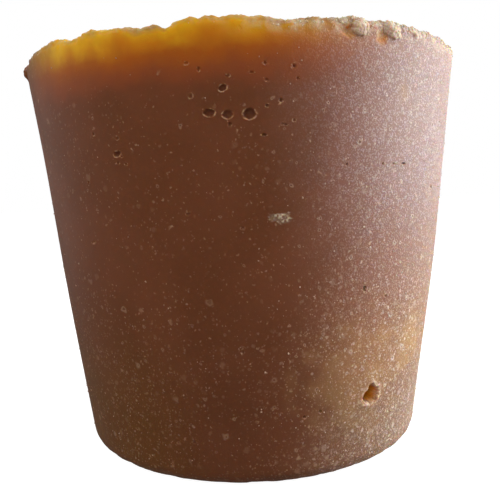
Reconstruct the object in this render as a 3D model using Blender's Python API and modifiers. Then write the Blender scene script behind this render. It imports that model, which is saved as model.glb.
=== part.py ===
"""Jaggery block: one kilogram of boiled cane syrup, set in a tapered pail and knocked out.

The wide end is the poured face. It dried a little hollow, and left a thin, broken lip where the syrup
crept up the pail. The narrow end is flat, and the block rests on it. Bubbles burst against the pail
left small pockets in the side. Metres, +Z up, origin at the middle of the base, best side towards -Y.
"""

import math

import bmesh
import bpy
from mathutils import Matrix, Vector, noise

# The pail's shape.
HEIGHT = 0.0965  # to the lip; its crest stands a little above
TOP_RADIUS = 0.055
BASE_RADIUS = 0.0434
BASE_ROUND = 0.0042

# The poured face.
LIP_ROUND = 0.0014
DISH_DEPTH = 0.0042
CREEP_LENGTH = 0.0055

# Wear, as the most that a point moves.
SIDE_WAVE = 0.0007
SIDE_WAVE_LENGTH = 0.055
FACE_WAVE = 0.0010
FACE_WAVE_LENGTH = 0.018
RIM_WAVE = 0.0004
RIM_WAVE_LENGTH = 0.017
NICK_REACH = 0.0045

# How finely the block is cut up.
SEGMENTS = 88
SIDE_ROWS = 15
DISH_RINGS = 9

# Broken places along the lip: angle from the front towards +X, half width in degrees, depth.
# Where the depth is negative the lip stands up in a crest.
NICKS = (
    (-64.0, 6.0, 0.0012),
    (-48.0, 13.0, -0.0008),
    (-33.0, 7.0, -0.0004),
    (-18.0, 6.0, 0.0013),
    (10.0, 8.0, 0.0009),
    (34.0, 12.0, -0.0003),
    (60.0, 6.0, 0.0009),
    (118.0, 9.0, 0.0014),
    (176.0, 6.0, 0.0010),
    (228.0, 8.0, 0.0012),
)

# Burst bubbles: name, angle, height, width, rise and depth of the hollow, raggedness.
POCKETS = (
    ("pocket_row_left", -6.7, 0.0791, 0.0022, 0.0012, 0.0012, 0.05),
    ("pocket_row_middle", -2.9, 0.0787, 0.0020, 0.0012, 0.0010, 0.05),
    ("pocket_row_right", 1.5, 0.0786, 0.0024, 0.0019, 0.0015, 0.05),
    ("pocket_above", -3.7, 0.0835, 0.0017, 0.0012, 0.0010, 0.05),
    ("pocket_left", -29.3, 0.0725, 0.0021, 0.0012, 0.0010, 0.05),
    ("pocket_middle", 29.9, 0.0426, 0.0012, 0.0015, 0.0009, 0.05),
    ("pocket_large", 35.6, 0.0182, 0.0048, 0.0045, 0.0040, 0.15),
    ("lip_hollow_near", 22.3, 0.0933, 0.0042, 0.0029, 0.0014, 0.15),
    ("lip_hollow_far", 32.0, 0.0930, 0.0036, 0.0036, 0.0014, 0.15),
)

# Lumps of froth that dried against the lip: name, angle, height, width, rise, how far it stands out.
LUMPS = (
    ("lump_near", 25.4, 0.0943, 0.0044, 0.0036, 0.0012),
    ("lump_far", 35.4, 0.0944, 0.0042, 0.0034, 0.0011),
    ("lump_small", 42.0, 0.0952, 0.0032, 0.0022, 0.0008),
)

TAPER = math.atan((TOP_RADIUS - BASE_RADIUS) / HEIGHT)


def side_radius(height):
    """The pail's radius at a height."""
    return BASE_RADIUS + (TOP_RADIUS - BASE_RADIUS) * height / HEIGHT


def arc(centre, radius, first, last, steps):
    """Points of an arc in the XZ plane, between two angles from +X."""
    for step in range(steps + 1):
        angle = first + (last - first) * step / steps
        yield Vector((centre[0] + radius * math.cos(angle), 0, centre[1] + radius * math.sin(angle)))


def profile():
    """The turned outline, from the middle of the poured face, over the lip, down to the middle of the base."""
    lip_height = HEIGHT - LIP_ROUND
    lip_centre = side_radius(lip_height) - LIP_ROUND / math.cos(TAPER)
    dish_edge = lip_centre - LIP_ROUND
    points = []
    for ring in range(DISH_RINGS):
        radius = dish_edge * (ring / DISH_RINGS) ** 0.62
        creep = math.exp((radius - dish_edge) / CREEP_LENGTH)
        points.append(Vector((radius, 0, HEIGHT - LIP_ROUND - DISH_DEPTH * (1 - creep))))
    points.extend(arc((lip_centre, lip_height), LIP_ROUND, math.pi, -TAPER, 5))

    # The base's rounding touches the side and the base, and the side runs straight between the two.
    corner = BASE_RADIUS - BASE_ROUND / math.tan(math.pi / 4 + TAPER / 2)
    rounding = list(arc((corner, BASE_ROUND), BASE_ROUND, -TAPER, -math.pi / 2, 4))
    top = points[-1]
    points.extend(top.lerp(rounding[0], row / SIDE_ROWS) for row in range(1, SIDE_ROWS))
    points.extend(rounding)
    points.append(Vector((0, 0, 0)))
    return points


def turned(name, points):
    """A mesh turned from the outline by a Screw modifier."""
    outline = bpy.data.meshes.new(name + "_outline")
    edges = [(index, index + 1) for index in range(len(points) - 1)]
    outline.from_pydata(points, edges, [])
    spinner = bpy.data.objects.new(name + "_outline", outline)
    bpy.context.scene.collection.objects.link(spinner)
    screw = spinner.modifiers.new("Turn", "SCREW")
    screw.steps = SEGMENTS
    screw.render_steps = SEGMENTS
    screw.use_merge_vertices = True
    screw.merge_threshold = 0.00001
    graph = bpy.context.evaluated_depsgraph_get()
    mesh = bpy.data.meshes.new_from_object(spinner.evaluated_get(graph))
    mesh.name = name
    bpy.data.objects.remove(spinner)
    bpy.data.meshes.remove(outline)
    return mesh


def nick_depth(angle):
    """How much of the lip is broken off at an angle in degrees."""
    lost = 0.0
    for centre, half_width, depth in NICKS:
        away = abs((angle - centre + 180) % 360 - 180)
        if away < half_width:
            lost += depth * math.cos(math.pi / 2 * away / half_width) ** 2
    return lost


def worn(point):
    """Where a point of the turned block ends up after shrinking, drying and rough handling."""
    if point.z < 0.00001:
        return point
    moved = point.copy()
    wave = noise.noise(point / SIDE_WAVE_LENGTH + Vector((3.1, 0.4, 7.7)))
    outward = Vector((point.x, point.y, 0))
    if outward.length > 0.001:
        hold = min(1, point.z / BASE_ROUND)
        moved += outward.normalized() * wave * SIDE_WAVE * hold
    to_lip = max(0, 1 - (HEIGHT - point.z) / NICK_REACH)
    if to_lip > 0:
        angle = math.degrees(math.atan2(point.x, -point.y))
        around = outward / RIM_WAVE_LENGTH
        moved.z -= to_lip * (nick_depth(angle) + RIM_WAVE * noise.noise(around))
    if outward.length < TOP_RADIUS - CREEP_LENGTH and point.z > HEIGHT - 2 * DISH_DEPTH:
        moved.z += FACE_WAVE * noise.noise(point / FACE_WAVE_LENGTH)
    return moved


def wear(mesh):
    """Moves every point of the turned block to its worn place."""
    block = bmesh.new()
    block.from_mesh(mesh)
    for vert in block.verts:
        vert.co = worn(vert.co)
    bmesh.ops.recalc_face_normals(block, faces=block.faces)
    block.to_mesh(mesh)
    block.free()


def on_side(angle, height, out):
    """Turns a shape made at the origin to face out of the side, and puts it there, out from the surface."""
    place = Matrix.Translation((0, -(side_radius(height) + out), height))
    return Matrix.Rotation(math.radians(angle), 4, "Z") @ place @ Matrix.Rotation(TAPER, 4, "X")


def rough_ball(name, half_sizes, ragged, matrix, seed):
    """A ball stretched to its half sizes, its surface pushed in and out, already in its place."""
    ball = bmesh.new()
    bmesh.ops.create_icosphere(ball, subdivisions=2, radius=1)
    for vert in ball.verts:
        push = noise.noise(vert.co * 1.7 + Vector((seed, 2 * seed, 0)))
        vert.co = Vector(a * b for a, b in zip(vert.co * (1 + ragged * push), half_sizes))
    bmesh.ops.transform(ball, matrix=matrix, verts=ball.verts)
    mesh = bpy.data.meshes.new(name)
    ball.to_mesh(mesh)
    ball.free()
    return bpy.data.objects.new(name, mesh)


def add_boolean(block, tool, operation, helpers):
    """Cuts a tool out of the block, or joins it on, and keeps the tool as a hidden helper."""
    helpers.objects.link(tool)
    tool.hide_render = True
    tool.display_type = "WIRE"
    boolean = block.modifiers.new(tool.name, "BOOLEAN")
    boolean.operation = operation
    boolean.solver = "EXACT"
    boolean.object = tool


def jaggery():
    """Matt brown, a little shiny where the pail was smooth."""
    material = bpy.data.materials.new("jaggery")
    material.use_nodes = True
    shader = material.node_tree.nodes["Principled BSDF"]
    shader.inputs["Base Color"].default_value = (0.215, 0.085, 0.045, 1)
    shader.inputs["Roughness"].default_value = 0.5
    shader.inputs["Metallic"].default_value = 0
    return material


def new_collection(name):
    collection = bpy.data.collections.new(name)
    bpy.context.scene.collection.children.link(collection)
    return collection


def main():
    for old in list(bpy.data.objects):
        bpy.data.objects.remove(old)
    parts = new_collection("jaggery_block_parts")
    helpers = new_collection("helpers")

    mesh = turned("jaggery_block", profile())
    wear(mesh)
    mesh.materials.append(jaggery())
    block = bpy.data.objects.new("jaggery_block", mesh)
    parts.objects.link(block)

    for seed, (name, angle, height, width, rise, stand) in enumerate(LUMPS):
        half_sizes = (width / 2, stand + 0.002, rise / 2)
        lump = rough_ball(name, half_sizes, 0.3, on_side(angle, height, -0.002), seed)
        add_boolean(block, lump, "UNION", helpers)
    for seed, (name, angle, height, width, rise, depth, ragged) in enumerate(POCKETS):
        # A hollow's mouth is narrower than its widest part, as a bubble's is.
        half_sizes = (width * 0.54, depth * 0.75, rise * 0.54)
        hollow = rough_ball(name, half_sizes, ragged, on_side(angle, height, -depth * 0.25), seed)
        add_boolean(block, hollow, "DIFFERENCE", helpers)

    mesh.shade_smooth()
    mesh.set_sharp_from_angle(angle=math.radians(40))


main()
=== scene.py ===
import math
import random

import bmesh
import bpy
from mathutils import Euler, Matrix, Vector, bvhtree, kdtree, noise


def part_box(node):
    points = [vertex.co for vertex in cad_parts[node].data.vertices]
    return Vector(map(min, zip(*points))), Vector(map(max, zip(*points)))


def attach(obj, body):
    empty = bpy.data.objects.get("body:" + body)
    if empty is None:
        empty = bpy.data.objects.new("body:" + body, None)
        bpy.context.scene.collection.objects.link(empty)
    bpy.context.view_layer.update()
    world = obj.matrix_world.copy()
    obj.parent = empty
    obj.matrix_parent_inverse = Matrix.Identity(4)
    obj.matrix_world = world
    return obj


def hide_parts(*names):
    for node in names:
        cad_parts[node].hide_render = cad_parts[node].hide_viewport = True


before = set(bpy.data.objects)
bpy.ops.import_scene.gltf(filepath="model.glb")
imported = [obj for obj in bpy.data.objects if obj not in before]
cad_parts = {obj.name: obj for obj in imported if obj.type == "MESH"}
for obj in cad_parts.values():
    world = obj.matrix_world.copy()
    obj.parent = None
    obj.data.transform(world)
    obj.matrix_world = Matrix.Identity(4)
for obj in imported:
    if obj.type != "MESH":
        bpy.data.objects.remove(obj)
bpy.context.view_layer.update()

# ---------------------------------------------------------------- The block
# A kilogram of cane syrup, boiled down, poured hot into a tapered pail and knocked out when set.
# It is one solid lump: smooth where the pail held it, hollow and rough on the poured face, with a thin
# broken lip where the syrup crept up the pail, and pocked by bubbles that burst against the wall.
low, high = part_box("jaggery_block")
crest = 0.0008
block_height = high.z - low.z - crest
top_radius = 0.505 * (high.x - low.x)
base_radius = 0.789 * top_radius
base_round = 0.0042
lip_round = 0.0013
dish_depth = 0.0042
creep_length = 0.0055
taper = math.atan((top_radius - base_radius) / block_height)

# Wear, as the most that the skin moves, and how long its waves are.
side_wave = 0.0007
side_wave_length = 0.055
face_wave = 0.0010
face_wave_length = 0.018
rim_wave = 0.0004
rim_wave_length = 0.017
lip_crumble = 0.0005
lip_crumble_length = 0.0040
nick_reach = 0.0045
just_above_base = 0.00001

# How finely the outline is cut up and turned.
around = 232
side_rows = 66
dish_rings = 30
base_rings = 8


def side_radius(height):
    """The pail's inside radius at a height above the block's base."""
    return base_radius + (top_radius - base_radius) * height / block_height


def arc(across, height, radius, first, last, steps):
    """Points along an arc of the block's outline, which is drawn in the XZ plane."""
    for step in range(steps + 1):
        angle = first + (last - first) * step / steps
        yield Vector((across + radius * math.cos(angle), 0, height + radius * math.sin(angle)))


lip_height = block_height - lip_round
lip_middle = side_radius(lip_height) - lip_round / math.cos(taper)
dish_edge = lip_middle - lip_round
under_dish = lip_height - 1.5 * dish_depth
outline = []
for ring in range(dish_rings):
    radius = dish_edge * (ring / dish_rings) ** 0.7
    creep = math.exp((radius - dish_edge) / creep_length)
    outline.append(Vector((radius, 0, lip_height - dish_depth * (1 - creep))))
outline.extend(arc(lip_middle, lip_height, lip_round, math.pi, -taper, 5))
corner = base_radius - base_round / math.tan(math.pi / 4 + taper / 2)
rounding = list(arc(corner, base_round, base_round, -taper, -math.pi / 2, 7))
side_top = outline[-1]
outline.extend(side_top.lerp(rounding[0], row / side_rows) for row in range(1, side_rows))
outline.extend(rounding)
outline.extend(Vector((corner * ring / base_rings, 0, 0)) for ring in reversed(range(base_rings)))

block = bmesh.new()
last = None
for point in outline:
    vert = block.verts.new(point)
    if last:
        block.edges.new((last, vert))
    last = vert
bmesh.ops.spin(
    block, geom=block.verts[:] + block.edges[:], cent=(0, 0, 0), axis=(0, 0, 1),
    angle=math.tau, steps=around, use_merge=True,
)
bmesh.ops.remove_doubles(block, verts=block.verts, dist=1e-6)
bmesh.ops.recalc_face_normals(block, faces=block.faces)


class Mark:
    """A place on the block's skin, with its own across, up and out, and half sizes along the first two."""

    def __init__(self, kind, centre, out, up, width, rise, depth, seed, turn=0.0):
        self.kind = kind
        self.centre = centre
        self.out = out.normalized()
        up = Matrix.Rotation(math.radians(turn), 3, self.out) @ up
        self.across = up.cross(self.out).normalized()
        self.up = self.out.cross(self.across)
        self.half_width = width / 2
        self.half_rise = rise / 2
        self.half = max(width, rise) / 2
        self.depth = depth
        self.seed = seed

    def find(self, point, ragged):
        """Where a point lies on the mark.

        Gives how far out it is as a share of the mark's edge, a number that changes round the edge, and the
        share across and up.
        """
        offset = point - self.centre
        across = offset.dot(self.across) / self.half_width
        up = offset.dot(self.up) / self.half_rise
        share = math.hypot(across, up)
        way = Vector((across, up, 0)).normalized() if share > 1e-6 else Vector((1, 0, 0))
        far = Vector((0, 0, self.seed * 3.7))
        uneven = noise.noise(way * 1.4 + far) + 0.5 * noise.noise(way * 4.0 + far)
        return share * (1 + ragged * uneven), uneven, across, up


def on_side(kind, angle, height, width, rise, depth, seed, turn=0.0):
    """A mark on the side. The angle is in degrees from the front towards +X, the sizes in millimetres."""
    height = height / 1000
    spin = Matrix.Rotation(math.radians(angle), 3, "Z")
    centre = spin @ Vector((0, -side_radius(height), height))
    out = spin @ Vector((0, -math.cos(taper), -math.sin(taper)))
    up = spin @ Vector((0, -math.sin(taper), math.cos(taper)))
    return Mark(kind, centre, out, up, width / 1000, rise / 1000, depth / 1000, seed, turn)


def on_face(kind, angle, radius, width, rise, depth, seed):
    """A mark on the poured face, where radius is the distance from the middle in millimetres."""
    radius = radius / 1000
    creep = math.exp((radius - dish_edge) / creep_length)
    height = lip_height - dish_depth * (1 - creep)
    centre = Matrix.Rotation(math.radians(angle), 3, "Z") @ Vector((0, -radius, height))
    sizes = (width / 1000, rise / 1000, depth / 1000)
    return Mark(kind, centre, Vector((0, 0, 1)), Vector((0, 1, 0)), *sizes, seed)


# The bubbles that show best, then smaller ones and those on the other sides. Each mark has a kind, an
# angle, a height, a width, a rise, a depth and a seed.
marks = [
    on_side("bubble", -6.8, 79.1, 2.20, 1.45, 0.6, 1),
    on_side("bubble", -3.1, 78.6, 2.05, 1.45, 0.5, 2),
    on_side("bubble", 1.4, 78.6, 2.45, 2.00, 0.7, 3),
    on_side("bubble", -3.8, 83.5, 1.70, 1.30, 0.5, 4, turn=25),
    on_side("bubble", -29.3, 72.5, 1.90, 1.25, 0.5, 5, turn=15),
    on_side("bubble", 29.9, 42.6, 0.95, 1.35, 0.5, 6),
    on_side("bubble", -2.7, 76.8, 0.75, 0.75, 0.4, 7),
    on_side("bubble", 4.3, 74.6, 1.20, 0.45, 0.5, 8),
    on_side("bubble", 5.1, 80.0, 0.65, 0.60, 0.4, 9),
    on_side("bubble", 7.9, 80.9, 0.70, 0.70, 0.5, 10),
    on_side("bubble", 8.8, 76.4, 0.75, 0.45, 0.3, 11),
    on_side("ring", 5.0, 84.7, 1.05, 0.70, 0.3, 12, turn=-30),
    on_side("ring", 10.7, 87.1, 1.20, 1.10, 0.4, 13),
    on_side("bubble", 4.8, 87.7, 0.70, 0.60, 0.4, 14),
    on_side("bubble", 11.4, 84.9, 0.60, 0.55, 0.4, 15),
    on_side("bubble", -8.4, 87.1, 0.55, 1.00, 0.4, 16),
    on_side("bubble", 2.1, 86.1, 0.90, 0.40, 0.3, 17),
    on_side("ring", -10.4, 82.4, 0.90, 1.00, 0.2, 18),
    on_side("ring", -28.7, 75.6, 0.95, 0.70, 0.2, 19),
    on_side("bubble", -29.4, 70.7, 0.70, 0.55, 0.3, 20),
    on_side("bubble", -27.2, 70.4, 0.65, 0.55, 0.3, 21),
    on_side("bubble", 13.6, 15.6, 0.75, 0.70, 0.5, 22),
    on_side("bubble", 18.2, 16.4, 0.70, 0.70, 0.5, 23),
    on_side("hole", 35.4, 18.0, 5.00, 4.60, 3.2, 24),
    on_side("scuff", 7.3, 58.7, 5.00, 2.00, 0.2, 25),
    on_side("scoop", 22.2, 93.7, 4.60, 2.40, 0.6, 26, turn=-15),
    on_side("scoop", 31.4, 93.7, 2.90, 4.80, 0.6, 27, turn=-36),
    on_side("lump", 25.3, 94.6, 3.80, 3.30, 1.0, 29),
    on_side("lump", 33.9, 94.8, 5.40, 3.10, 0.8, 31, turn=-22),
    on_side("lump", 41.0, 95.5, 3.20, 1.80, 0.4, 32),
    on_side("flake", -71.5, 94.8, 2.60, 4.40, 0.6, 33),
]
# A faint line of pinholes where the pail was joined.
seam_pinholes = ((23.1, 0.6), (30.1, 0.5), (33.3, 0.6), (36.8, 0.6), (40.5, 1.7))
for count, (angle, width) in enumerate(seam_pinholes):
    marks.append(on_side("bubble", angle, 68.6, width, 0.45, 0.4, 40 + count))

chance = random.Random(11)
pinhole_count = 110
for count in range(pinhole_count):
    width = 0.45 + 0.5 * chance.random() ** 2
    place = (chance.uniform(-180, 180), chance.uniform(4, 90))
    rise = width * chance.uniform(0.6, 1)
    marks.append(on_side("bubble", *place, width, rise, width * 0.25, 50 + count))
# The other sides have their own groups of larger bubbles, each a short row that rose together.
groups = ((74, 62), (118, 80), (150, 33), (186, 74), (213, 20), (246, 81), (287, 47))
for count, (angle, height) in enumerate(groups):
    for step in range(chance.randint(1, 4)):
        place = (angle + step * chance.uniform(2.5, 4.5), height + chance.uniform(-1.2, 1.2))
        width = chance.uniform(1.1, 2.4)
        rise = width * chance.uniform(0.6, 0.9)
        marks.append(on_side("bubble", *place, width, rise, width / 2, 200 + 5 * count + step))
marks.append(on_side("hole", 161, 71, 3.4, 3.0, 2.6, 260))
marks.append(on_side("hole", 262, 30, 2.6, 3.2, 2.2, 261))
face_bubble_count = 46
face_bubble_reach = 50  # millimetres from the middle
for count in range(face_bubble_count):
    place = (chance.uniform(-180, 180), face_bubble_reach * math.sqrt(chance.random()))
    width = 0.9 + 2.6 * chance.random() ** 3
    rise = width * chance.uniform(0.75, 1)
    marks.append(on_face("bubble", *place, width, rise, width * 0.35, 270 + count))

# The skin is cut finer near the lip, and finer still round each mark.
centres = kdtree.KDTree(len(marks))
for index, mark in enumerate(marks):
    centres.insert(mark.centre, index)
centres.balance()
widest = max(mark.half for mark in marks)


def near_mark(point, spread, margin, least):
    """Whether a point lies within a mark's spread, for marks no smaller than the least."""
    for centre, index, distance in centres.find_range(point, widest * spread + margin):
        half = marks[index].half
        if half >= least and distance < half * spread + margin:
            return True
    return False


def near_lip(point, reach):
    """Whether a point lies within reach of the lip, down the side or in over the poured face."""
    return block_height - point.z < reach and math.hypot(point.x, point.y) > dish_edge - reach


def refine(spread, margin, least=0, lip_band=0):
    """Halves every face near a mark no smaller than the least, or in a band along the lip."""
    edges = set()
    for face in block.faces:
        middle = face.calc_center_median()
        if near_mark(middle, spread, margin, least) or near_lip(middle, lip_band):
            edges.update(face.edges)
    bmesh.ops.subdivide_edges(block, edges=list(edges), cuts=1, use_grid_fill=True)


refine(spread=1.4, margin=0.0007, lip_band=0.0045)
refine(spread=1.3, margin=0.0003, lip_band=0.0016)
refine(spread=1.25, margin=0.0001, least=0.0003)
refine(spread=0.9, margin=0, least=0.0018)

# The lip is nicked where it broke. Each nick has an angle, a half width in degrees and a depth, which is
# negative where the lip stands up.
nicks = (
    (-67.0, 5.0, 0.0012), (-49.0, 14.0, -crest), (-33.0, 7.0, -0.0004), (-19.0, 7.0, 0.0009),
    (-14.6, 2.5, 0.0013), (10.0, 8.0, 0.0009), (34.0, 12.0, -0.0003), (60.0, 6.0, 0.0009),
    (118.0, 9.0, 0.0014), (176.0, 6.0, 0.0010), (228.0, 8.0, 0.0012),
)


def angle_of(point):
    """Degrees from the front towards +X."""
    return math.degrees(math.atan2(point.x, -point.y))


def nick_depth(angle):
    """How much of the lip is broken off at an angle in degrees."""
    lost = 0.0
    for centre, half_width, depth in nicks:
        away = abs((angle - centre + 180) % 360 - 180)
        if away < half_width:
            lost += depth * math.cos(math.pi / 2 * away / half_width) ** 2
    return lost


def crumbled(point, size, seed):
    """Uneven relief between -1 and 1, with bumps of about the given size."""
    return noise.noise(point / size + Vector((seed, seed * 1.7, -seed)))


def ease(value, low, high):
    """0 at low, 1 at high and smooth between."""
    share = min(1, max(0, (value - low) / (high - low)))
    return share * share * (3 - 2 * share)


# Where the lip is thinnest, the light comes through yellow, painted as a glow: angle, half width in degrees
# and strength.
painted_backlight_streaks = (
    (-52, 5, 0.3), (-44, 6, 1.0), (-36, 5, 0.9), (-30, 5, 1.0), (-20, 5, 0.2), (-12, 6, 0.8), (1, 6, 0.4),
    (-84, 6, 1.0), (-101, 8, 1.0), (96, 7, 1.0), (124, 9, 1.0), (140, 5, 0.8), (171, 8, 1.0), (197, 6, 0.9),
    (214, 9, 1.0), (236, 5, 0.8),
)
# Patches of straw colour, where the syrup was stirred least: angle, height, width and rise, and strength.
straw_patches = (
    (52.0, 28.0, 15.0, 14.0, 0.9), (37.5, 30.5, 10.0, 8.0, 0.7), (36.0, 23.0, 10.0, 8.0, 0.9),
    (28.0, 18.5, 8.0, 5.0, 0.6), (31.0, 23.0, 30.0, 28.0, 0.50), (38.6, 83.6, 4.5, 6.0, 0.45),
    (-150.0, 60.0, 24.0, 18.0, 0.35), (120.0, 22.0, 20.0, 14.0, 0.5),
)
skin_names = ("lip", "hollow", "rim", "amber", "crust", "honey", "straw")
skin = {name: block.verts.layers.float.new(name) for name in skin_names}
for vert in block.verts:
    point = vert.co.copy()
    angle = angle_of(point)
    outward = Vector((point.x, point.y, 0))
    below = block_height - point.z
    on_poured_face = outward.length < dish_edge and point.z > under_dish
    if on_poured_face:
        below = dish_edge + 2 * lip_round - outward.length
    elif point.z > block_height / 2:
        below = max(below, lip_round * 0.5)
    vert[skin["lip"]] = below if point.z > block_height / 2 else 0.1
    for centre, half_width, strength in painted_backlight_streaks:
        away = abs((angle - centre + 180) % 360 - 180)
        streak = strength * ease(away, half_width, 0) * ease(below, 0.0065, 0.0015)
        vert[skin["honey"]] = max(vert[skin["honey"]], streak)
    for centre, level, width, rise, strength in straw_patches:
        away = math.radians((angle - centre + 180) % 360 - 180) * outward.length
        share = math.hypot(away * 2000 / width, (point.z * 1000 - level) * 2 / rise)
        share += 0.5 * noise.noise(point / 0.004 + Vector((0, 0, level)))
        vert[skin["straw"]] = max(vert[skin["straw"]], strength * ease(share, 1.25, 0.35))
    if point.z > just_above_base:
        wave = noise.noise(point / side_wave_length + Vector((3.1, 0.4, 7.7)))
        hold = min(1, point.z / base_round)
        if outward.length > 0.001:
            vert.co += outward.normalized() * wave * side_wave * hold
    to_lip = max(0, 1 - (block_height - point.z) / nick_reach)
    if to_lip > 0:
        ragged = rim_wave * noise.noise(outward / rim_wave_length)
        ragged += lip_crumble * crumbled(point, lip_crumble_length, 5)
        vert.co.z -= to_lip * (nick_depth(angle) + ragged)
    if on_poured_face and outward.length < dish_edge - creep_length:
        vert.co.z += face_wave * noise.noise(point / face_wave_length)

# Each mark moves the skin along its own out, and says how pale or amber the skin is there and how much
# painted shade darkens its hollow; the amber carries a painted glow of light coming through.
verts = list(block.verts)
tree = kdtree.KDTree(len(verts))
for index, vert in enumerate(verts):
    tree.insert(vert.co, index)
tree.balance()
raggedness = {"bubble": 0.14, "scuff": 0.5}
for mark in marks:
    reach = mark.half * 1.9 + 0.0006
    for _, index, _ in tree.find_range(mark.centre, reach):
        vert = verts[index]
        share, uneven, across, up = mark.find(vert.co, raggedness.get(mark.kind, 0.2))
        below_it = ease(-up / max(share, 0.01), -0.6, 0.9)
        if mark.kind in ("bubble", "ring"):
            # A ring is a bubble that closed up again but for a pinhole.
            mouth = 0.5 if mark.kind == "ring" else 1
            dip = math.sqrt(max(0, 1 - (share / mouth) ** 2))
            breadth = max(0.16, 0.00013 / mark.half)
            rim = math.exp(-((share - 1 - 0.75 * breadth) / breadth) ** 2)
            # The pale rim is stronger on its lower edge: partly crumbs gathered there, partly a painted
            # highlight where the lower lip faces the light from above.
            rim *= 0.55 + 0.45 * below_it + 1.1 * uneven
            rim *= 1 + 0.8 * crumbled(vert.co, 0.0004, mark.seed)
            vert.co += mark.out * (0.00011 * rim * min(1, mark.half / 0.0006) - mark.depth * dip)
            deep = ease(mark.half, 0.0001, 0.0011)
            vert[skin["hollow"]] = max(vert[skin["hollow"]], ease(share / mouth, 1.0, 0.75) * deep)
            vert[skin["rim"]] = max(vert[skin["rim"]], rim * (0.7 + 0.3 * deep))
        elif mark.kind == "hole":
            # The mouth is drawn out upwards and down to one side, as the skin tore.
            way = math.atan2(up, across)
            mouth = 0.78
            for tear, pull, narrow in ((97, 0.26, 8), (212, 0.34, 3), (295, 0.16, 2)):
                mouth += pull * max(0, math.cos(way - math.radians(tear))) ** narrow
            share /= mouth
            dip = ease(share, 1.05, 0.55)
            rim = math.exp(-((share - 1.22) / 0.24) ** 2) * (0.75 + 0.5 * below_it + 0.7 * uneven)
            crumb = crumbled(vert.co, 0.0006, mark.seed)
            vert.co += mark.out * ((0.00025 + 0.0002 * crumb) * rim - mark.depth * dip)
            vert.co += mark.out * 0.0003 * crumb * dip
            # Inside the hole, the left part is painted dark as painted shade under the overhang, and the
            # rest amber, a painted glow of light coming through the right wall.
            shade = ease(across + 0.25 * crumb, 0.02, -0.22)
            vert[skin["amber"]] = max(vert[skin["amber"]], ease(share, 1.0, 0.8) * (1 - shade))
            vert[skin["hollow"]] = max(vert[skin["hollow"]], ease(share, 1.0, 0.85) * shade)
            crusted = 0.85 * rim * ease(crumb + 0.5 * uneven, -0.25, 0.4)
            vert[skin["crust"]] = max(vert[skin["crust"]], crusted)
        elif mark.kind == "scoop":
            dip = ease(share, 1.1, 0.1)
            vert.co -= mark.out * mark.depth * dip
            # The scoop thins the lip, so it is amber, with a painted glow of light coming through.
            vert[skin["amber"]] = max(vert[skin["amber"]], 0.65 * ease(share, 1.15, 0.5))
        elif mark.kind == "lump":
            dome = math.sqrt(max(0, 1 - share * share))
            crumb = crumbled(vert.co, 0.0005, mark.seed)
            vert.co += mark.out * dome * (mark.depth + 0.00016 * crumb)
            vert[skin["amber"]] *= ease(share, 0.9, 1.1)
            vert[skin["crust"]] = max(vert[skin["crust"]], ease(share, 1.1, 0.8))
        elif mark.kind == "flake":
            vert.co += mark.out * mark.depth * ease(share, 1.1, 0.3)
        elif mark.kind == "scuff":
            inside = ease(share, 1.1, 0.6)
            crumb = crumbled(vert.co, 0.0005, mark.seed)
            vert.co += mark.out * 0.00022 * crumb * inside
            crusted = inside * (0.25 + 0.6 * ease(crumb, -0.1, 0.4))
            vert[skin["crust"]] = max(vert[skin["crust"]], crusted)

# Last comes the grain: fine on the side, coarse on the poured face and crumbly on the lip.
side_grain = 0.00003
face_grain = 0.00012
lip_grain = 0.00022
face_lumps = 0.00045
face_lump_length = 0.0045
block.normal_update()
for vert in block.verts:
    point = vert.co.copy()
    lip = vert[skin["lip"]]
    angle = angle_of(point)
    face = 1 if vert.normal.z > 0.5 and point.z > under_dish else 0
    near = ease(lip, 0.0042, 0.0008)
    # The crusted stretch of the lip runs from the front round the +X side to the back.
    crusted = ease(math.cos(math.radians(angle - 95)), -0.25, 0.25)
    crust = near * crusted * ease(crumbled(point, 0.0022, 9) + 0.5 * crumbled(point, 0.0008, 4), -0.35, 0.25)
    top_edge = ease(lip, 0.0016, 0.0008) * ease(crumbled(point, 0.0012, 2), -0.3, 0.3)
    vert[skin["crust"]] = max(vert[skin["crust"]], crust, 0.25 * top_edge)
    rough = side_grain + face_grain * face + lip_grain * near
    grain = crumbled(point, 0.0014, 3) + 0.6 * crumbled(point, 0.0007, 8)
    lumps = face_lumps * face * crumbled(point, face_lump_length, 6) * ease(lip, 0.001, 0.006)
    if point.z > just_above_base:
        vert.co += vert.normal * (rough * grain + lumps)
        vert.co.z = max(vert.co.z, just_above_base)
    # The lower edge is a little chipped.
    chip = ease(point.z, 0.004, 0.0008) * ease(math.hypot(point.x, point.y), corner - 0.001, corner)
    if chip > 0 and point.z > just_above_base:
        bite = max(0, crumbled(point, 0.0035, 12)) * 0.0006 + max(0, crumbled(point, 0.0011, 13)) * 0.0003
        outward = Vector((point.x, point.y, 0)).normalized()
        vert.co -= outward * bite * chip

# The map unrolls the side as a strip, and lays the poured face and the base above it.
strip_width = 365  # degrees across the whole map
strip_scale = 4.6
disc_scale = 4.3
face_middle = Vector((0.24, 0.74))
base_middle = Vector((0.72, 0.74))
sheet = block.loops.layers.uv.new("OFBake")
for face in block.faces:
    middle = face.calc_center_median()
    out = math.hypot(middle.x, middle.y)
    turn = angle_of(middle)
    for loop in face.loops:
        point = loop.vert.co
        if middle.z > lip_height - 1.8 * dish_depth and out < lip_middle:
            loop[sheet].uv = face_middle + point.xy * disc_scale
        elif middle.z < base_round and out < corner:
            loop[sheet].uv = base_middle + point.xy * disc_scale
        else:
            angle = angle_of(point)
            angle += 360 * round((turn - angle) / 360)
            loop[sheet].uv = (0.5 + angle / strip_width, 0.01 + point.z * strip_scale)

mesh = bpy.data.meshes.new("jaggery")
block.to_mesh(mesh)
skin_tree = bvhtree.BVHTree.FromBMesh(block)
block.free()
mesh.shade_smooth()
jaggery = bpy.data.objects.new("jaggery", mesh)
bpy.context.scene.collection.objects.link(jaggery)


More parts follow.
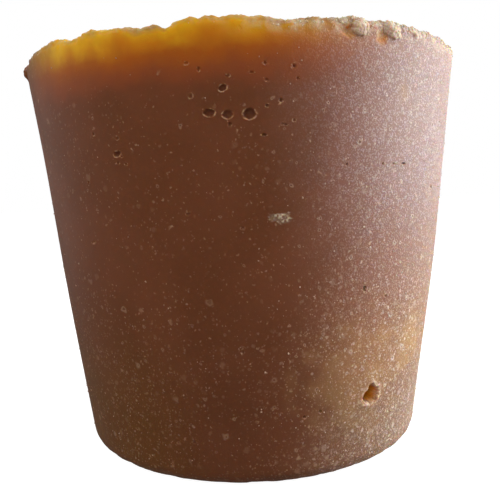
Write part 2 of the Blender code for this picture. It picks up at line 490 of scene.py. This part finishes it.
class Shade:
    """A value, colour or vector in a material. Sums written with it add the nodes that work them out."""

    def __init__(self, nodes, socket=None):
        self.nodes = nodes
        self.socket = socket

    def add(self, kind, settings, sockets, output=0):
        """Adds any node, sets it up, fills or links its sockets, and gives one of its outputs."""
        node = self.nodes.new(kind)
        for name, value in settings.items():
            if name == "stops":
                ramp = node.color_ramp.elements
                while len(ramp) < len(value):
                    ramp.new(1)
                for stop, (place, colour) in zip(ramp, value):
                    stop.position = place
                    stop.color = (*colour, 1)
            else:
                setattr(node, name, value)
        for name, value in sockets.items():
            if isinstance(value, Shade):
                self.nodes.id_data.links.new(value.socket, node.inputs[name])
            else:
                node.inputs[name].default_value = value
        return Shade(self.nodes, node.outputs[output])

    def sum(self, operation, first, second):
        """A sum of two values, or of two colours or vectors, where a number stands for all three parts."""
        both = (first, second)
        if any(isinstance(part, Shade) and part.socket.type in ("VECTOR", "RGBA") for part in both):
            both = [part if isinstance(part, (Shade, tuple, Vector)) else (part,) * 3 for part in both]
            kind = "ShaderNodeVectorMath"
        else:
            kind = "ShaderNodeMath"
        return self.add(kind, {"operation": operation}, {0: both[0], 1: both[1]})

    def __add__(self, other):
        return self.sum("ADD", self, other)

    def __sub__(self, other):
        return self.sum("SUBTRACT", self, other)

    def __rsub__(self, other):
        return self.sum("SUBTRACT", other, self)

    def __mul__(self, other):
        return self.sum("MULTIPLY", self, other)

    def __truediv__(self, other):
        return self.sum("DIVIDE", self, other)

    def least(self, other):
        return self.sum("MINIMUM", self, other)

    def most(self, other):
        return self.sum("MAXIMUM", self, other)

    __radd__ = __add__
    __rmul__ = __mul__

    def ease(self, low, high):
        """0 at low, 1 at high and smooth between."""
        ends = {"Value": self, "From Min": low, "From Max": high}
        return self.add("ShaderNodeMapRange", {"interpolation_type": "SMOOTHSTEP"}, ends)

    def toward(self, colour, share):
        """This colour, mixed towards another by a share, through the Mix node's sockets for colours."""
        if not isinstance(colour, Shade):
            colour = (*colour, 1)
        return self.add("ShaderNodeMix", {"data_type": "RGBA"}, {0: share, 6: self, 7: colour}, 2)

    def attribute(self, name):
        return self.add("ShaderNodeAttribute", {"attribute_name": name}, {}, "Fac")

    def patchy(self, size, detail=2.0, offset=(0, 0, 0)):
        """Noise from 0 to 1, with patches of about a size in metres."""
        sockets = {"Vector": self + offset, "Scale": 1 / size, "Detail": detail}
        return self.add("ShaderNodeTexNoise", {}, sockets)

    def split(self):
        """The three numbers of a colour or a vector."""
        parts = self.add("ShaderNodeSeparateColor", {}, {"Color": self}).socket.node
        return [Shade(self.nodes, output) for output in parts.outputs]

    def spots(self, size, share, offset=(0, 0, 0)):
        """Soft spots, one to a cell of a size in metres, in a share of the cells.

        Gives how pale each place is, and how much of a pinhole: some spots have one in their middle.
        """
        cells = self.add("ShaderNodeTexVoronoi", {}, {"Vector": self + offset, "Scale": 1 / size})
        red, green, blue = Shade(self.nodes, cells.socket.node.outputs["Color"]).split()
        breadth = 0.14 + 0.26 * green
        there = (share - red).ease(0.0, 0.05)
        pale = (breadth - cells).ease(-0.09, 0.14) * there * (0.25 + 0.75 * blue * blue)
        pinhole = (breadth * 0.5 - cells).ease(-0.03, 0.06) * there * blue.ease(0.55, 0.6)
        return pale, pinhole


def new_material(name):
    """A material's starting place in its shaders, and its principled shader."""
    material = bpy.data.materials.new(name)
    material.use_nodes = True
    nodes = material.node_tree.nodes
    shader = nodes["Principled BSDF"]
    coordinates = Shade(nodes).add("ShaderNodeTexCoord", {}, {}, "Object")
    return material, shader, coordinates


def feed(shader, name, shade):
    """Links a value or colour to one of a shader's sockets."""
    shader.id_data.links.new(shade.socket, shader.inputs[name])


# Jaggery is dark brown in the mass and amber where it is thin; on the thin lip a painted glow stands for
# light coming through. Sugar has come out in it as pale specks and as a fine frost, most of all low down
# and on the +X side, where a painted sheen of the light from the right is mixed into the frost, and air
# whitens the crumbly lip. The lip's painted glow colours run down from its top, as shares of how far down
# the glow reaches.
brown_dark = (0.162, 0.052, 0.018)
brown_light = (0.188, 0.061, 0.024)
brown_red = (0.230, 0.066, 0.024)
painted_shade_olive = (0.145, 0.056, 0.007)
sheen_edge_red = (0.360, 0.075, 0.035)
frost_and_sheen_grey = (0.680, 0.540, 0.410)
frost_and_sheen_low_colour = (0.770, 0.525, 0.330)
frost_and_sheen_high_colour = (0.685, 0.575, 0.545)
straw_colour = (0.680, 0.430, 0.180)
speck_colour = (0.480, 0.290, 0.180)
crust_colour = (0.680, 0.565, 0.425)
painted_hollow_shade = (0.140, 0.042, 0.018)
painted_glint_colour = (0.860, 0.720, 0.600)
amber_and_glow_colour = (0.640, 0.240, 0.020)
painted_honey_glow = (0.860, 0.500, 0.010)
painted_lip_glow_colours = (
    (0.00, (0.34, 0.23, 0.09)),
    (0.12, (0.72, 0.36, 0.010)),
    (0.26, (0.64, 0.22, 0.006)),
    (0.48, (0.43, 0.108, 0.009)),
    (0.72, (0.30, 0.076, 0.020)),
    (1.00, (0.220, 0.061, 0.022)),
)
lip_reach = 0.0125

material, shader, place = new_material("jaggery")
right, _, height = place.split()

mottle = place.patchy(0.016, 3.0)
colour = place.add("ShaderNodeRGB", {}, {})
colour.socket.default_value = (*brown_dark, 1)
colour = colour.toward(brown_light, mottle.ease(0.35, 0.65))
fine = place.patchy(0.0009, 2.0, (0.3, 0, 0))
colour = colour.toward(brown_red, fine.ease(0.45, 0.75) * 0.35)
# Painted shade: the brown is made darker towards the bottom, and darker olive low down on the -X side.
colour = colour * (1.0 - 0.13 * height.ease(0.050, 0.010))
colour = colour.toward(painted_shade_olive, 0.6 * height.ease(0.045, 0.012) * right.ease(-0.006, -0.028))

# Frost and painted sheen: paler towards +X, partly sugar frost and partly a painted sheen of the light from
# the right; a thin haze where it begins, pale and grainy where it is thick.
drift = place.patchy(0.020, 1.0, (0, 0, 0.4))
straw = place.attribute("straw")
frost_and_sheen = (right + (drift - 0.5) * 0.010 + 0.005 * height.ease(0.050, 0.090)).ease(0.004, 0.046)
grain = place.patchy(0.00035, 2.0, (0, 0.7, 0))
clots = place.patchy(0.0010, 2.0, (0, 0.2, 0.5))
flecks = (grain + 0.4 * (clots - 0.5)).ease(0.50, 0.62)
low_frost_and_sheen = right.ease(0.006, 0.028) * height.ease(0.020, 0.007)
frost_and_sheen_tint = place.add("ShaderNodeRGB", {}, {})
frost_and_sheen_tint.socket.default_value = (*frost_and_sheen_low_colour, 1)
frost_and_sheen_tint = frost_and_sheen_tint.toward(frost_and_sheen_high_colour, height.ease(0.025, 0.068))
frost_and_sheen_tint = frost_and_sheen_tint.toward(frost_and_sheen_grey, 0.7 * height.ease(0.024, 0.012))
frost_and_sheen_tint = frost_and_sheen_tint.toward(straw_colour, straw * 0.8)
colour = colour.toward(straw_colour, straw * 0.42)
# Where the painted sheen begins, the brown is painted redder, as painted light from the right.
sheen_edge_reddening = frost_and_sheen.ease(0.02, 0.45) * (0.22 - 0.12 * frost_and_sheen.ease(0.60, 1.00))
colour = colour.toward(sheen_edge_red, sheen_edge_reddening * height.ease(0.008, 0.028))
frost_and_sheen_share = (frost_and_sheen + 0.15 * low_frost_and_sheen) * (0.27 + 0.42 * flecks) * (0.88 + 0.24 * height.ease(0.04, 0.09))
colour = colour.toward(frost_and_sheen_tint, frost_and_sheen_share)

# Specks: faint and far apart on the -X side, close and bright low down on the +X side, where their colour
# runs to a painted glint of the light from the right.
lowness = height.ease(0.066, 0.012)
speckled = right.ease(0.000, 0.022)
crowd = 0.26 + 0.28 * lowness + 0.34 * lowness * speckled + 0.34 * frost_and_sheen
crowd = crowd * (0.5 + 0.9 * drift.ease(0.3, 0.7))
warp = place.add("ShaderNodeTexNoise", {}, {"Vector": place, "Scale": 1100.0, "Detail": 0.0}, "Color")
bent = place + (warp - 0.5) * 0.0007
tiny, _ = bent.spots(0.00060, crowd * 1.3, (0.004, 0, 0))
small, small_pin = bent.spots(0.0011, crowd * 0.9, (0.001, 0, 0))
large, large_pin = bent.spots(0.0021, crowd * 0.45, (0, 0.002, 0))
specks = tiny.most(small).most(large)
pinholes = small_pin.most(large_pin)
speck_tint = place.add("ShaderNodeRGB", {}, {})
speck_tint.socket.default_value = (*speck_colour, 1)
speck_tint = speck_tint.toward(painted_glint_colour, right.ease(0.004, 0.036))
colour = colour.toward(speck_tint, specks * (0.50 + 0.30 * lowness * speckled + 0.20 * frost_and_sheen))
# Pinholes are painted dark, as painted shade in them.
colour = colour.toward(painted_hollow_shade, pinholes * 0.8)

# The lip's painted glow: light coming through where it is thin is painted into its colour, most on the -X
# side and fading away towards +X.
lip = place.attribute("lip")
uneven = place.patchy(0.006, 2.0, (0, 0.3, 0.1))
sunk = (lip + (uneven - 0.5) * 0.004) / lip_reach
painted_glow = place.add("ShaderNodeValToRGB", {"stops": painted_lip_glow_colours}, {"Fac": sunk})
broken = place.patchy(0.0032, 2.0, (0.2, 0, 0)).ease(0.30, 0.66)
painted_glow = painted_glow.toward(painted_honey_glow, place.attribute("honey") * (0.45 + 0.55 * broken))
lit_side = right.ease(-0.054, -0.036) * (1 - 0.95 * right.ease(-0.002, 0.034))
colour = colour.toward(painted_glow, sunk.ease(1.2, 0.75) * lit_side)

hollow = place.attribute("hollow")
rim = place.attribute("rim")
amber = place.attribute("amber")
crust = place.attribute("crust")
# Painted shade darkens the hollows of bubbles and holes.
colour = colour.toward(painted_hollow_shade, hollow * 0.85)
# Amber is the jaggery's colour where thin, with a painted glow of light coming through it.
colour = colour.toward(amber_and_glow_colour, amber)
# Pale rims round the bubbles, partly a painted highlight on their lower edges.
colour = colour.toward(speck_colour, (rim * (0.3 + 1.1 * fine)).ease(0.15, 0.9) * 0.75)
colour = colour.toward(crust_colour, crust * (0.15 + 1.3 * grain).least(1.0))
feed(shader, "Base Color", colour)

roughness = 0.50 + 0.14 * fine + 0.12 * crust
feed(shader, "Roughness", roughness)
relief = place.patchy(0.00035, 2.0) * (0.4 + 0.6 * frost_and_sheen) + 0.6 * specks - pinholes
relief = relief + 0.7 * flecks * frost_and_sheen
bump = place.add("ShaderNodeBump", {}, {"Height": relief, "Distance": 0.00006, "Strength": 0.9})
feed(shader, "Normal", bump)
shader.subsurface_method = "RANDOM_WALK"
shader.inputs["Subsurface Weight"].default_value = 0.6
shader.inputs["Subsurface Radius"].default_value = (1.0, 0.35, 0.08)
shader.inputs["Subsurface Scale"].default_value = 0.003
shader.inputs["IOR"].default_value = 1.5
shader.inputs["Specular IOR Level"].default_value = 0.25
mesh.materials.append(material)

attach(jaggery, "root")
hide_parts("jaggery_block")

# ---------------------------------------------------------------- Crumbs on the lip
# Where the lip broke, it left crumbs of pale, dry jaggery, most of them a fifth to half a millimetre
# across. They stick to it from the front round the +X side to the back, a few are found on the rest of
# it, and more are strewn over the poured face.
chance = random.Random(23)


class Grains:
    """Many small grains of one shape that stick to the skin and make one piece."""

    def __init__(self, create, **settings):
        shape = bmesh.new()
        create(shape, **settings)
        self.corners = [vert.co.copy() for vert in shape.verts]
        self.sides = [[vert.index for vert in face.verts] for face in shape.faces]
        shape.free()
        self.points = []
        self.faces = []

    def stick(self, origin, aim, size, spread, sink):
        """Sets one grain on the skin, where a ray from the origin first meets it."""
        point, normal, _, _ = skin_tree.ray_cast(origin, aim)
        if point is None:
            return
        stretch = Matrix.Diagonal([size * chance.uniform(0.7, spread) for _ in range(3)])
        turn = Euler([chance.uniform(0, math.tau) for _ in range(3)]).to_matrix() @ stretch
        first = len(self.points)
        for corner in self.corners:
            self.points.append(point + normal * size * sink + turn @ corner * chance.uniform(0.75, 1.2))
        self.faces.extend([first + index for index in side] for side in self.sides)

    def piece(self, name):
        """The grains as one object that rides with the block."""
        mesh = bpy.data.meshes.new(name)
        mesh.from_pydata(self.points, [], self.faces)
        grains = bpy.data.objects.new(name, mesh)
        bpy.context.scene.collection.objects.link(grains)
        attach(grains, "root")
        return grains


def around_lip(angle, way):
    """A ray towards the middle of the lip's rounding, from a way in degrees: 0 is outwards and 90 is up."""
    spin = Matrix.Rotation(math.radians(angle), 3, "Z")
    middle = spin @ Vector((0, -lip_middle, lip_height - nick_depth(angle)))
    outward = spin @ Vector((0, -math.cos(math.radians(way)), math.sin(math.radians(way))))
    return middle + outward * 0.01, -outward


tries_round_lip = 2600
tries_on_face = 900
crumbs = Grains(bmesh.ops.create_icosphere, subdivisions=1, radius=1)
for _ in range(tries_round_lip):
    angle = chance.uniform(-180, 180)
    thick = 0.03 + 0.97 * ease(math.cos(math.radians(angle - 95)), -0.15, 0.35)
    size = 0.00008 + 0.00020 * chance.random() ** 3
    if chance.random() < thick:
        crumbs.stick(*around_lip(angle, chance.triangular(-40, 160, 30)), size, 1.1, 0.0)
for _ in range(tries_on_face):
    reach = dish_edge * math.sqrt(chance.random())
    spot = Matrix.Rotation(chance.uniform(0, math.tau), 3, "Z") @ Vector((0, reach, block_height + 0.01))
    crumbs.stick(spot, Vector((0, 0, -1)), 0.00012 + 0.00036 * chance.random() ** 4, 1.1, 0.2)
lip_crumbs = crumbs.piece("lip_crumbs")

material, shader, place = new_material("dry_crumb")
tint = place.patchy(0.0015, 1.0)
colour = place.add("ShaderNodeValToRGB", {"stops": (
    (0.32, (0.52, 0.34, 0.16)), (0.48, (0.68, 0.54, 0.34)), (0.62, (0.80, 0.71, 0.54)),
)}, {"Fac": tint})
feed(shader, "Base Color", colour)
feed(shader, "Roughness", 0.45 + 0.3 * tint)
shader.subsurface_method = "RANDOM_WALK"
shader.inputs["Subsurface Weight"].default_value = 0.9
shader.inputs["Subsurface Radius"].default_value = (1.0, 0.8, 0.5)
shader.inputs["Subsurface Scale"].default_value = 0.0006
shader.inputs["Specular IOR Level"].default_value = 0.35
lip_crumbs.data.materials.append(material)

# ---------------------------------------------------------------- Crystals in the side
# Sugar crystals that grew out through the skin: little blocks a tenth to a third of a millimetre long,
# more than half sunk in it. They are thickest low down and on the +X side.
tries_in_side = 12000
crystals = Grains(bmesh.ops.create_cube, size=1.6)
for _ in range(tries_in_side):
    angle = chance.uniform(-180, 180)
    level = chance.uniform(0.003, lip_height - 0.002)
    spin = Matrix.Rotation(math.radians(angle), 3, "Z")
    outward = spin @ Vector((0, -1, 0))
    rightness = ease(outward.x * side_radius(level), 0.000, 0.040)
    lowness = ease(level, 0.060, 0.010)
    wanted = 0.06 + 0.12 * lowness + 0.10 * lowness * ease(outward.x, -0.1, 0.25) + 0.42 * rightness
    clump = 0.5 + 1.2 * crumbled(outward * 0.05 + Vector((0, 0, level)), 0.006, 21)
    size = 0.00006 + 0.00010 * chance.random() ** 3
    if chance.random() < wanted * clump:
        crystals.stick(outward * 0.08 + Vector((0, 0, level)), -outward, size, 1.5, 0.1)
side_crystals = crystals.piece("side_crystals")

material, shader, place = new_material("sugar_crystal")
tint = place.patchy(0.0020, 1.0, (0, 0, 0.6))
# The crystals are painted paler towards +X, partly a painted highlight of the light from the right.
colour = place.add("ShaderNodeValToRGB", {"stops": (
    (0.20, (0.36, 0.19, 0.11)), (0.50, (0.60, 0.42, 0.30)), (0.80, (0.86, 0.74, 0.62)),
)}, {"Fac": tint * 0.6 + 0.5 * place.split()[0].ease(-0.010, 0.040)})
feed(shader, "Base Color", colour)
feed(shader, "Roughness", 0.25 + 0.3 * tint)
side_crystals.data.materials.append(material)

# ---------------------------------------------------------------- Stage
# A white sweep, one strong soft light on the right, two weak ones behind on the left, of which one is
# high over the lip, and a broad one in front that leaves no gloss.
floor_mesh = bmesh.new()
bmesh.ops.create_grid(floor_mesh, x_segments=1, y_segments=1, size=3)
bmesh.ops.translate(floor_mesh, verts=floor_mesh.verts, vec=(0, 0, -0.0004))
mesh = bpy.data.meshes.new("floor")
floor_mesh.to_mesh(mesh)
floor_mesh.free()
floor = bpy.data.objects.new("floor", mesh)
bpy.context.scene.collection.objects.link(floor)
# The floor is seen, but it neither lights the block nor shines in it.
floor.visible_diffuse = False
floor.visible_glossy = False
material, shader, place = new_material("white_paper")
shader.inputs["Base Color"].default_value = (0.35, 0.35, 0.35, 1)
shader.inputs["Roughness"].default_value = 0.9
shader.inputs["Specular IOR Level"].default_value = 0.0
shader.inputs["Emission Color"].default_value = (1, 1, 1, 1)
shader.inputs["Emission Strength"].default_value = 0.94
mesh.materials.append(material)


def soft_light(name, angle, height, distance, size, power, colour, glossy=True):
    """A square light that faces the block. The angle is in degrees from the front towards +X."""
    lamp = bpy.data.lights.new(name, "AREA")
    lamp.size = size
    lamp.energy = power
    lamp.color = colour
    light = bpy.data.objects.new(name, lamp)
    spin = Matrix.Rotation(math.radians(angle), 3, "Z")
    light.location = spin @ Vector((0, -distance, height))
    aim = Vector((0, 0, block_height / 2)) - light.location
    light.rotation_euler = aim.to_track_quat("-Z", "Y").to_euler()
    light.visible_glossy = glossy
    bpy.context.scene.collection.objects.link(light)


# Each light has an angle, a height, a distance, a size, a power and a colour.
soft_light("window", 92, 0.14, 0.50, 0.45, 5.4, (0.97, 0.97, 1.0))
soft_light("lip_light", -150, 0.42, 0.35, 0.30, 0.5, (1.0, 0.95, 0.85))
soft_light("left_rim", -108, 0.16, 0.55, 0.50, 0.5, (0.85, 0.93, 1.0))
soft_light("fill", -20, 0.35, 0.60, 0.60, 2.5, (1.0, 0.97, 0.93), glossy=False)

world = bpy.data.worlds.new("world")
bpy.context.scene.world = world
world.use_nodes = True
sky = Shade(world.node_tree.nodes)
seen = sky.add("ShaderNodeLightPath", {}, {}, "Is Camera Ray")
strength = 0.20 + 0.80 * seen
background = world.node_tree.nodes["Background"]
background.inputs["Color"].default_value = (1, 1, 1, 1)
world.node_tree.links.new(strength.socket, background.inputs["Strength"])

scene = bpy.context.scene
scene.view_settings.view_transform = "Standard"

# The camera stands close, at two thirds of the block's height, and looks a little down.
camera_distance = 0.1728
camera_height = 0.0640
camera_down = 5.39
camera_roll = -2.18
camera_pan = -0.20
lens = bpy.data.cameras.new("camera")
lens.sensor_width = 36
lens.lens = 44.85
lens.clip_start = 0.01
camera = bpy.data.objects.new("camera", lens)
camera.location = (0, -camera_distance, camera_height)
tilt = Matrix.Rotation(math.radians(90 - camera_down), 4, "X")
roll = Matrix.Rotation(math.radians(camera_roll), 4, "Z")
pan = Matrix.Rotation(math.radians(camera_pan), 4, "Z")
camera.rotation_euler = (pan @ (tilt @ roll)).to_euler()
scene.collection.objects.link(camera)
scene.camera = camera
